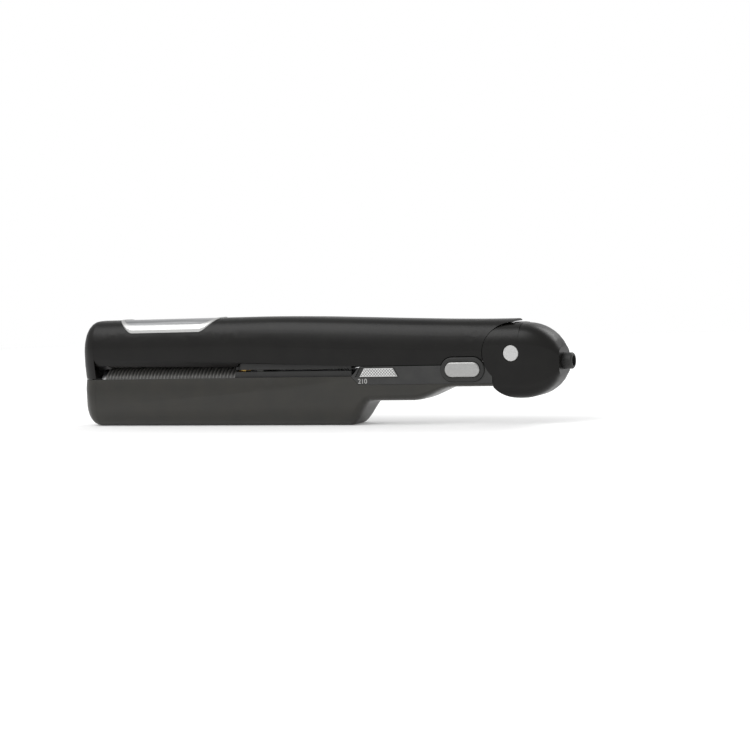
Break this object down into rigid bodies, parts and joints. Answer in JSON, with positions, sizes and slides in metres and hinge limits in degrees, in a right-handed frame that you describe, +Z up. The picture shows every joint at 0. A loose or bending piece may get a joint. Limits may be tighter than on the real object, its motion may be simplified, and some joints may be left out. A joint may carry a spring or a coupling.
{
  "type": "hair crimper",
  "caption": "Hinged hair crimper: two rotating rippled barrels in long arms feed and crimp the hair, with gear drives, a slide switch, a feed button and a cord swivel.",
  "frame": {"origin": "on the resting flat of the lower arm, under the middle of the barrels", "axes": "+X runs from the nose to the cord end, +Z up from the resting flat, -Y is the side with the switch and the button"},
  "size_m": [0.341, 0.0328, 0.07],
  "materials": {
    "black_casing": "satin moulded",
    "black_inner": "matt moulded",
    "grey_panel": "satin moulded",
    "barrel_ceramic": "ceramic coated",
    "silver_trim": "satin anodised",
    "streaked_panel": "brushed lengthwise",
    "bearing_steel": "turned",
    "brass_gear": "machined",
    "motor_steel": "pressed",
    "core_steel": "drawn",
    "board_green": "solder mask",
    "switch_black": "moulded",
    "rubber_bumper": "moulded",
    "screw_steel": "plated"
  },
  "bodies": {
    "lower_body": {"lower_casing": "black_casing", "lower_nose_cap": "black_casing", "lower_inner_plate": "black_inner", "rest_bumper": "rubber_bumper", "lower_heater_core": "core_steel", "lower_gearmotor": "motor_steel", "lower_motor_mount": "black_inner", "side_panel": "grey_panel", "switch_bezel": "black_inner", "switch_body": "switch_black", "button_bezel": "black_inner", "tact_switch": "switch_black", "control_board": "board_green", "board_screws": "screw_steel", "rear_housing": "black_casing", "hinge_pin": "bearing_steel", "hinge_caps": "bearing_steel", "opening_spring": "bearing_steel", "lower_plate_screws": "screw_steel", "handle_screws": "screw_steel"},
    "upper_arm": {"upper_casing": "black_casing", "upper_nose_cap": "black_casing", "upper_inner_plate": "black_inner", "upper_heater_core": "core_steel", "upper_gearmotor": "motor_steel", "upper_motor_mount": "black_inner", "window_trim": "silver_trim", "window_panel": "streaked_panel", "hinge_bracket": "bearing_steel", "bracket_screws": "screw_steel", "upper_plate_screws": "screw_steel"},
    "lower_barrel_set": {"lower_barrel": "barrel_ceramic", "lower_front_bush": "bearing_steel", "lower_rear_bush": "bearing_steel", "lower_ring_gear": "brass_gear"},
    "upper_barrel_set": {"upper_barrel": "barrel_ceramic", "upper_front_bush": "bearing_steel", "upper_rear_bush": "bearing_steel", "upper_ring_gear": "brass_gear"},
    "lower_pinion_set": {"lower_pinion": "bearing_steel"},
    "upper_pinion_set": {"upper_pinion": "bearing_steel"},
    "switch_thumb": {"slide_switch": "silver_trim"},
    "rotation_key": {"rotation_button": "silver_trim"},
    "cord_swivel_set": {"swivel_gland": "black_inner"}
  },
  "joints": [
    {"name": "arm_hinge", "type": "hinge", "parent": "lower_body", "child": "upper_arm", "pos_m": [0.2405, 0, 0.044], "axis": [0, 1, 0], "range_deg": [0, 10]},
    {"name": "lower_barrel_spin", "type": "hinge", "parent": "lower_body", "child": "lower_barrel_set", "pos_m": [0, 0, 0.0272], "axis": [1, 0, 0], "continuous": true},
    {"name": "upper_barrel_spin", "type": "hinge", "parent": "upper_arm", "child": "upper_barrel_set", "pos_m": [0, 0, 0.0485], "axis": [1, 0, 0], "continuous": true},
    {"name": "lower_pinion_spin", "type": "hinge", "parent": "lower_body", "child": "lower_pinion_set", "pos_m": [0, 0, 0.0146], "axis": [1, 0, 0], "continuous": true},
    {"name": "upper_pinion_spin", "type": "hinge", "parent": "upper_arm", "child": "upper_pinion_set", "pos_m": [0, 0, 0.0611], "axis": [1, 0, 0], "continuous": true},
    {"name": "rotation_button_press", "type": "slide", "parent": "lower_body", "child": "rotation_key", "axis": [0, 1, 0], "range_m": [0, 0.0012], "stiffness_N_per_m": 400},
    {"name": "slide_switch_slide", "type": "slide", "parent": "lower_body", "child": "switch_thumb", "axis": [-1, 0, 0], "range_m": [0, 0.0035]},
    {"name": "cord_swivel", "type": "hinge", "parent": "lower_body", "child": "cord_swivel_set", "pos_m": [0.269, 0, 0.038], "axis": [1, 0, 0], "continuous": true}
  ],
  "couplings": [
    {"joint": "upper_barrel_spin", "follows": "lower_barrel_spin", "ratio": -1},
    {"joint": "lower_pinion_spin", "follows": "lower_barrel_spin", "ratio": -2},
    {"joint": "upper_pinion_spin", "follows": "lower_barrel_spin", "ratio": 2}
  ]
}
